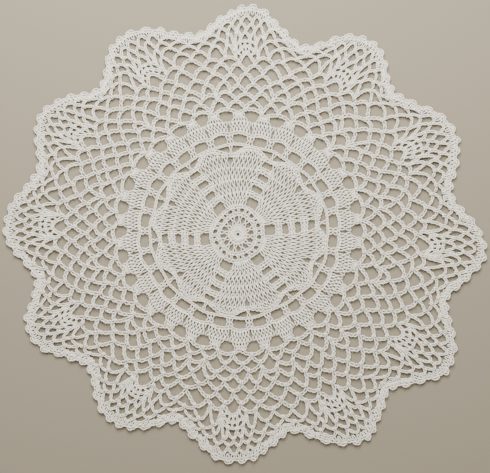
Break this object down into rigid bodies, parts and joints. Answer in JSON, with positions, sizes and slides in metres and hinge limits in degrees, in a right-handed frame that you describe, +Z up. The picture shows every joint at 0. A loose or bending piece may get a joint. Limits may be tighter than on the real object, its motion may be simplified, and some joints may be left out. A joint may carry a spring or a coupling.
{
  "type": "crochet lace doily",
  "caption": "Round crochet lace doily in off-white cotton, with a petalled flower centre, a ring of fans, a looped net and a pointed edge trimmed with picots.",
  "frame": {"origin": "centre of the bounding box, on the surface that the doily lies on", "axes": "+Z up out of the surface, +X towards the right of the picture, +Y towards its top"},
  "size_m": [0.3136, 0.2982, 0.002],
  "materials": {
    "cotton": "matt undyed crochet cotton"
  },
  "bodies": {
    "root": {"doily": "cotton"}
  },
  "joints": []
}
